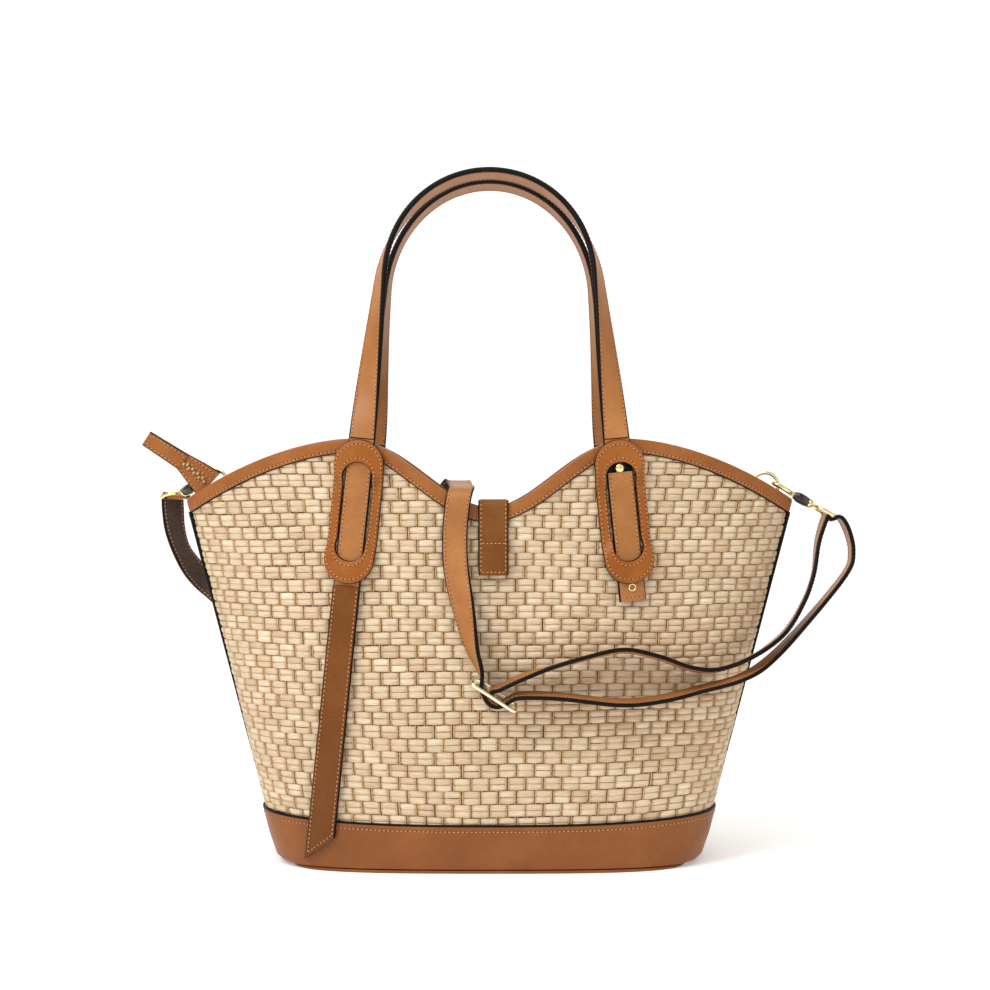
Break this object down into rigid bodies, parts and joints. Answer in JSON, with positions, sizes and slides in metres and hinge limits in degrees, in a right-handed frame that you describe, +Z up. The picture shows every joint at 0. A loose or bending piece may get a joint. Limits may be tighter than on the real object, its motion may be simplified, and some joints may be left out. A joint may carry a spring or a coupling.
{
  "type": "beach bag",
  "caption": "Open woven straw tote with tan leather base, trim and tall handles, a closing tab, a hanging strap end, an open zip and a shoulder strap clipped to rings at the sides.",
  "frame": {"origin": "centre of the flat base, on the surface that the bag stands on", "axes": "+X to the bag's right as seen from the front, -Y out of the front panel, +Z up"},
  "size_m": [0.5107, 0.1655, 0.4882],
  "materials": {
    "straw": "woven paper straw, matte",
    "tan_leather": "semi-matte smooth leather",
    "black_edge": "painted edge piping, satin",
    "lining_fabric": "plain woven cotton",
    "board": "pressed fibre stiffener",
    "pale_gold": "pale gold plate, polished",
    "dark_steel": "dark plated steel",
    "zip_tape": "woven zip tape",
    "magnet_steel": "plain steel"
  },
  "bodies": {
    "bag": {"base_band_front": "tan_leather", "base_band_rear": "tan_leather", "base_board": "board", "base_sole": "tan_leather", "buckle_bar": "pale_gold", "closure_tab_patch": "tan_leather", "eyelet_front_right": "pale_gold", "eyelet_rear_left": "pale_gold", "eyelet_rear_right": "pale_gold", "front_panel": "straw", "handle_plate_front_left": "tan_leather", "handle_plate_front_right": "tan_leather", "handle_plate_rear_left": "tan_leather", "handle_plate_rear_right": "tan_leather", "handle_strap_end_front_left": "tan_leather", "handle_strap_end_front_right": "tan_leather", "handle_strap_end_rear_left": "tan_leather", "handle_strap_end_rear_right": "tan_leather", "hook_barrel_left": "dark_steel", "hook_barrel_right": "dark_steel", "hook_eye_left": "pale_gold", "hook_eye_right": "pale_gold", "lining_floor": "lining_fabric", "lining_front": "lining_fabric", "lining_rear": "lining_fabric", "panel_magnet": "magnet_steel", "rear_panel": "straw", "rim_binding_front": "tan_leather", "rim_binding_rear": "tan_leather", "ring_chape_left": "tan_leather", "ring_chape_right": "tan_leather", "shoulder_strap": "tan_leather", "side_welt_left": "black_edge", "side_welt_right": "black_edge", "slide_buckle": "pale_gold", "strap_loop": "tan_leather", "stud_front_right": "pale_gold", "stud_rear_left": "pale_gold", "stud_rear_right": "pale_gold", "zip_end_tab": "tan_leather", "zip_gusset_front": "zip_tape", "zip_gusset_rear": "zip_tape", "zip_stub": "pale_gold", "zip_tail_teeth": "pale_gold", "zip_teeth_front": "pale_gold", "zip_teeth_rear": "pale_gold", "zip_tongue": "tan_leather"},
    "closure_tab": {"closure_tab": "tan_leather"},
    "d_ring_left": {"d_ring_left": "pale_gold"},
    "d_ring_right": {"d_ring_right": "pale_gold"},
    "front_handle": {"front_handle": "tan_leather"},
    "hook_claw_left": {"hook_claw_left": "pale_gold"},
    "hook_claw_right": {"hook_claw_right": "pale_gold"},
    "hook_gate_left": {"hook_gate_left": "pale_gold"},
    "hook_gate_right": {"hook_gate_right": "pale_gold"},
    "rear_handle": {"rear_handle": "tan_leather"},
    "strap_tail": {"strap_tail": "tan_leather"},
    "zip_puller": {"zip_puller": "pale_gold"},
    "zip_slider": {"zip_slider": "pale_gold"}
  },
  "joints": [
    {"name": "front_handle_fold", "type": "hinge", "parent": "bag", "child": "front_handle", "pos_m": [0, -0.06019, 0.29753], "axis": [1, 0, 0], "range_deg": [-4, 150]},
    {"name": "rear_handle_fold", "type": "hinge", "parent": "bag", "child": "rear_handle", "pos_m": [0, 0.06019, 0.29753], "axis": [1, 0, 0], "range_deg": [-150, 4]},
    {"name": "closure_tab_lift", "type": "hinge", "parent": "bag", "child": "closure_tab", "pos_m": [0.0029, 0.06293, 0.25456], "axis": [-1, 0, 0], "range_deg": [0, 110]},
    {"name": "strap_tail_swing", "type": "hinge", "parent": "bag", "child": "strap_tail", "pos_m": [-0.09782, -0.05807, 0.19644], "axis": [-0.9745, 0.2025, 0.0965], "range_deg": [0, 75]},
    {"name": "d_ring_left_tilt", "type": "hinge", "parent": "bag", "child": "d_ring_left", "pos_m": [-0.1985, 0, 0.26211], "axis": [1, 0, 0], "range_deg": [-8, 8]},
    {"name": "d_ring_right_tilt", "type": "hinge", "parent": "bag", "child": "d_ring_right", "pos_m": [0.1985, 0, 0.25961], "axis": [1, 0, 0], "range_deg": [-8, 8]},
    {"name": "hook_swivel_left", "type": "hinge", "parent": "bag", "child": "hook_claw_left", "pos_m": [-0.21563, 0.01, 0.26471], "axis": [-0.5869, 0.7691, -0.253], "range_deg": [-15, 15]},
    {"name": "hook_swivel_right", "type": "hinge", "parent": "bag", "child": "hook_claw_right", "pos_m": [0.21932, 0.00026, 0.25912], "axis": [0.8711, 0.02, -0.4906], "range_deg": [-15, 15]},
    {"name": "hook_gate_left_open", "type": "hinge", "parent": "hook_claw_left", "child": "hook_gate_left", "pos_m": [-0.21244, 0.00878, 0.26547], "axis": [0.1535, -0.2011, -0.9675], "range_deg": [0, 18], "stiffness_Nm_per_rad": 0.004, "springref_deg": -8.59},
    {"name": "hook_gate_right_open", "type": "hinge", "parent": "hook_claw_right", "child": "hook_gate_right", "pos_m": [0.21667, 0.002, 0.2606], "axis": [0.4905, 0.0113, 0.8714], "range_deg": [0, 18], "stiffness_Nm_per_rad": 0.004, "springref_deg": -8.59},
    {"name": "zip_slider_travel", "type": "slide", "parent": "bag", "child": "zip_slider", "axis": [1, 0, 0], "range_m": [0, 0.018]},
    {"name": "zip_puller_swing", "type": "hinge", "parent": "zip_slider", "child": "zip_puller", "pos_m": [-0.17762, 0.00423, 0.2292], "axis": [1, 0, 0], "range_deg": [0, 25]}
  ]
}
